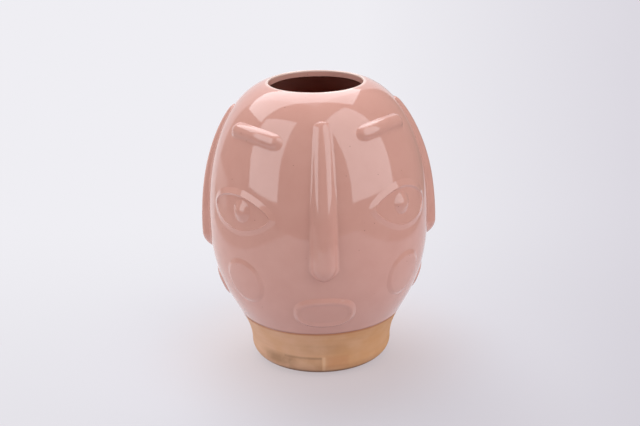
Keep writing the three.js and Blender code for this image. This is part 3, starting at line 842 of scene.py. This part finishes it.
# reach of the painted pink bounce round the pot
BOUNCE_FALLS = 0.055, 0.16, 1.0, 0.0
LEFT_BRIGHTENS = -0.12, 0.0, 1.0, 0.0
SHADOW_AT = 0.04, -0.12
SHADOW_HALF = 0.14, 0.2
PAPER_LEFT = -0.33
PAPER_RIGHT = 0.35
PAPER_SOFT = 0.02
PAPER_SLANT = 0.8  # the left end leans out to the back
PAPER_SLANT_AT = -0.114
print("the glaze sees paper for %.2f m" % (PAPER_RIGHT - PAPER_LEFT))

# %% Tones of the sheet for the camera
matt_paper, tree, shader = new_material("matt_paper")
sheet.materials.append(matt_paper)
shader.inputs["Base Color"].default_value = FLOOR_PALE
shader.inputs["Roughness"].default_value = 0.95
shader.inputs["Specular IOR Level"].default_value = 0.1
place = add_node(tree, "TexCoord").outputs["Object"]
x, y, _ = add_node(tree, "SeparateXYZ", [place]).outputs
from_pot = add_node(tree, "VectorMath", [place], operation="LENGTH")
ray = add_node(tree, "LightPath").outputs
seen = ray["Is Camera Ray"]

aside = add_node(tree, "Math", [y, SHADE_LEAN, x], operation="MULTIPLY_ADD")
behind = add_node(tree, "Math", [y, SHADE_FROM], operation="ADD")
spread = add_node(tree, "Math", [aside, behind], operation="DIVIDE")
shaded = add_node(tree, "MapRange", [spread, *SHADE_SPREAD])
tone = add_node(tree, "Mix", {0: shaded, 6: SHEET_LIT, 7: SHEET_SHADED}, **COLOUR)

# painted shade in front of the pot, for the camera
front_shade = add_node(tree, "MapRange", [y, *FRONT_SHADE_FALLS], **SMOOTH)
front_shade_seen = add_node(tree, "Math", [front_shade, seen], **PRODUCT)
less_left = add_node(tree, "MapRange", [x, *LEFT_SHADE_LESS], **SMOOTH)
front_shade_share = add_node(tree, "Math", [front_shade_seen, less_left], **PRODUCT)
tone = add_node(tree, "Mix", {0: front_shade_share, 6: tone, 7: SHEET_FRONT_SHADE}, **COLOUR)

shadow_shift = [-at / half for at, half in zip(SHADOW_AT, SHADOW_HALF)]
shadow_scale = [1 / half for half in SHADOW_HALF]
shadow_place = add_node(
    tree, "Mapping", {"Vector": place, "Location": (*shadow_shift, 0.0), "Scale": (*shadow_scale, 1.0)})
from_shadow = add_node(tree, "VectorMath", [shadow_place], operation="LENGTH")
shadow = add_node(tree, "MapRange", [from_shadow, *SHADOW_FALLS], **SMOOTH)
shadow_seen = add_node(tree, "Math", [shadow, seen], **PRODUCT)
tone = add_node(tree, "Mix", {0: shadow_seen, 6: tone, 7: SHADOW_TONE}, **COLOUR)
# painted bounce light: the paper turns pinker close to the pot
painted_bounce = add_node(tree, "MapRange", [from_pot, *BOUNCE_FALLS], **SMOOTH)
painted_bounce_seen = add_node(tree, "Math", [painted_bounce, seen], **PRODUCT)
tone = add_node(tree, "Mix", {0: painted_bounce_seen, 6: tone, 7: PAINTED_BOUNCE_TINT}, blend_type="MULTIPLY", **COLOUR)
print("nodes for the camera:", len(tree.nodes))

# %% Tones of the sheet for the glaze
unseen = add_node(tree, "Math", [1.0, seen], operation="SUBTRACT")
bright = add_node(tree, "MapRange", [x, *LEFT_BRIGHTENS], **SMOOTH)
bright_share = add_node(tree, "Math", [bright, unseen], **PRODUCT)
tone = add_node(tree, "Mix", {0: bright_share, 6: tone, 7: PAPER_BRIGHT}, **COLOUR)

slanted = add_node(tree, "Math", [y, PAPER_SLANT, x], operation="MULTIPLY_ADD")
slant_ends = PAPER_SLANT_AT - PAPER_SOFT, PAPER_SLANT_AT + PAPER_SOFT
past_slant = add_node(tree, "MapRange", [slanted, *slant_ends, 1.0, 0.0], **SMOOTH)
left_ends = PAPER_LEFT - PAPER_SOFT, PAPER_LEFT + PAPER_SOFT
past_left = add_node(tree, "MapRange", [x, *left_ends, 1.0, 0.0], **SMOOTH)
off_left = add_node(tree, "Math", [past_slant, past_left], **PRODUCT)
left_share = add_node(tree, "Math", [off_left, unseen], **PRODUCT)
tone = add_node(tree, "Mix", {0: left_share, 6: tone, 7: TABLE_TONE}, **COLOUR)
right_ends = PAPER_RIGHT - PAPER_SOFT, PAPER_RIGHT + PAPER_SOFT
off_right = add_node(tree, "MapRange", [x, *right_ends], **SMOOTH)
right_share = add_node(tree, "Math", [off_right, unseen], **PRODUCT)
tone = add_node(tree, "Mix", {0: right_share, 6: tone, 7: ROOM_DIM}, **COLOUR)

even = add_node(tree, "Emission", {"Color": tone})
far = add_node(tree, "MapRange", [from_pot, *EVEN_FROM_POT], **SMOOTH)
seen_or_mirrored = add_node(tree, "Math", [seen, ray["Is Glossy Ray"]], operation="MAXIMUM")
even_share = add_node(tree, "Math", [far, seen_or_mirrored], **PRODUCT)
paper = add_node(tree, "MixShader", [even_share, shader, even])
tree.links.new(paper.outputs["Shader"], tree.nodes["Material Output"].inputs["Surface"])
print("paper nodes:", len(tree.nodes))

# %% [markdown]
# ## Room
#
# Behind the camera the room is dim and behind the pot it is pale, and the glaze mirrors both: a
# dark band round the nose, and pale lines where the wall turns away. On the left the lit table
# shows below the edge of the dim room. The camera itself sees only the backdrop, in the tones of
# the sheet, past the sheet's edges.

# %% Paint the room
ROOM_PALE = linear("#eeeef3")
TABLE_LIT = linear("#dad5d2")
# bearings in radians from straight behind the pot, to the right
BACKDROP_BEARING = math.radians(-41.0), math.radians(24.0)
TABLE_BEARING = math.radians(-68.0), math.radians(-41.0)
BEARING_SOFT = math.radians(2.0)
# parts of a direction: the table's edge from below to above, the backdrop's shade to the right
TABLE_EDGE = -0.085, -0.065
BACKDROP_SHADE = 0.073, 0.282

world = bpy.data.worlds.new("room")
bpy.context.scene.world = world
world.use_nodes = True
tree = world.node_tree
direction = add_node(tree, "TexCoord").outputs["Generated"]
x, y, z = add_node(tree, "SeparateXYZ", [direction]).outputs
bearing = add_node(tree, "Math", [x, y], operation="ARCTAN2")
below_edge = add_node(tree, "MapRange", [z, *TABLE_EDGE, 1.0, 0.0], **SMOOTH)
by_table = soft_band(tree, bearing, *TABLE_BEARING, BEARING_SOFT)
on_table = add_node(tree, "Math", [by_table, below_edge], **PRODUCT)
room = add_node(tree, "Mix", {0: on_table, 6: ROOM_DIM, 7: TABLE_LIT}, **COLOUR)
behind_pot = soft_band(tree, bearing, *BACKDROP_BEARING, BEARING_SOFT)
room = add_node(tree, "Mix", {0: behind_pot, 6: room, 7: ROOM_PALE}, **COLOUR)
shaded = add_node(tree, "MapRange", [x, *BACKDROP_SHADE])
backdrop = add_node(tree, "Mix", {0: shaded, 6: SHEET_LIT, 7: SHEET_SHADED}, **COLOUR)
seen = add_node(tree, "LightPath").outputs["Is Camera Ray"]
room = add_node(tree, "Mix", {0: seen, 6: room, 7: backdrop}, **COLOUR)
tree.links.new(room.outputs[2], tree.nodes["Background"].inputs["Color"])
print("room nodes:", len(tree.nodes))

# %% [markdown]
# ## Lamps
#
# Two soft boxes stand left and right of the camera, and a third hangs over the pot and behind it.
# Their rectangles show in the glaze, so their directions were worked out from where the pot
# mirrors them. A lamp is set by its radiance, so that a larger box isn't dimmer.

# %% Hang the soft boxes
CAMERA_TURN = math.radians(-2.3)  # how far the camera stands round from the front of the pot
LAMP_TINT = 0.95, 1.0, 1.06

def soft_box(name, place, across, up, width, height, radiance):
    lamp = bpy.data.lights.new(name, "AREA")
    lamp.color = LAMP_TINT
    lamp.shape = "RECTANGLE"
    lamp.size = width
    lamp.size_y = height
    lamp.energy = radiance * math.pi * width * height
    box = bpy.data.objects.new(name, lamp)
    across = Vector(across).normalized()
    away = across.cross(Vector(up)).normalized()
    axes = Matrix((across, away.cross(across), away)).transposed().to_4x4()
    box.matrix_world = Matrix.Rotation(CAMERA_TURN, 4, "Z") @ Matrix.Translation(place) @ axes
    box.visible_camera = False
    bpy.context.scene.collection.objects.link(box)
    print("%s: %.1f W" % (name, lamp.energy))

soft_box(
    "left_soft_box", place=(-0.847, -0.403, 0.601), across=(0.804, -0.591, -0.064),
    up=(0.318, 0.337, 0.887), width=0.775, height=1.03, radiance=2.35)
soft_box(
    "right_soft_box", place=(0.648, -0.455, 0.82), across=(0.42, 0.907, -0.014),
    up=(-0.334, 0.169, 0.927), width=0.944, height=1.5, radiance=2.2)
soft_box(
    "overhead_soft_box", place=(-0.52, 0.89, 1.4), across=(0.995, 0.1, 0.02),
    up=(-0.1, 0.995, -0.04), width=2.36, height=1.4, radiance=2.75)

# %% [markdown]
# ## Camera
#
# The camera looks down on the pot from the front. Its place and lens were found by fitting the
# outline of the rim, wall and foot in a picture of 640 by 426 pixels.

# %% Set the camera
IMAGE_WIDTH = 640
FOCAL_PIXELS = 1267.66
SENSOR_WIDTH = 36.0
CAMERA_AWAY = 0.95418
CAMERA_HEIGHT = 0.45139
PITCH = math.radians(19.30)
ROLL = math.radians(-1.27)
YAW = math.radians(0.07)

forward = Vector((math.sin(YAW) * math.cos(PITCH), math.cos(YAW) * math.cos(PITCH), -math.sin(PITCH)))
level_right = Vector((math.cos(YAW), -math.sin(YAW), 0))
level_up = level_right.cross(forward)
right = math.cos(ROLL) * level_right + math.sin(ROLL) * level_up
up = math.cos(ROLL) * level_up - math.sin(ROLL) * level_right
axes = Matrix((right, up, -forward)).transposed().to_4x4()
lens = bpy.data.cameras.new("camera")
lens.sensor_width = SENSOR_WIDTH
lens.lens = FOCAL_PIXELS / IMAGE_WIDTH * SENSOR_WIDTH
camera = bpy.data.objects.new("camera", lens)
stand = Matrix.Translation((0, -CAMERA_AWAY, CAMERA_HEIGHT)) @ axes
camera.matrix_world = Matrix.Rotation(CAMERA_TURN, 4, "Z") @ stand
bpy.context.scene.collection.objects.link(camera)
bpy.context.scene.camera = camera
bpy.context.scene.view_settings.view_transform = "Standard"
print("lens: %.1f mm" % lens.lens)

# %% [markdown]
# ## Finish
#
# The skins must not outgrow the imported model. Here the view layer is only brought up to date.

# %% Finish
bpy.context.view_layer.update()
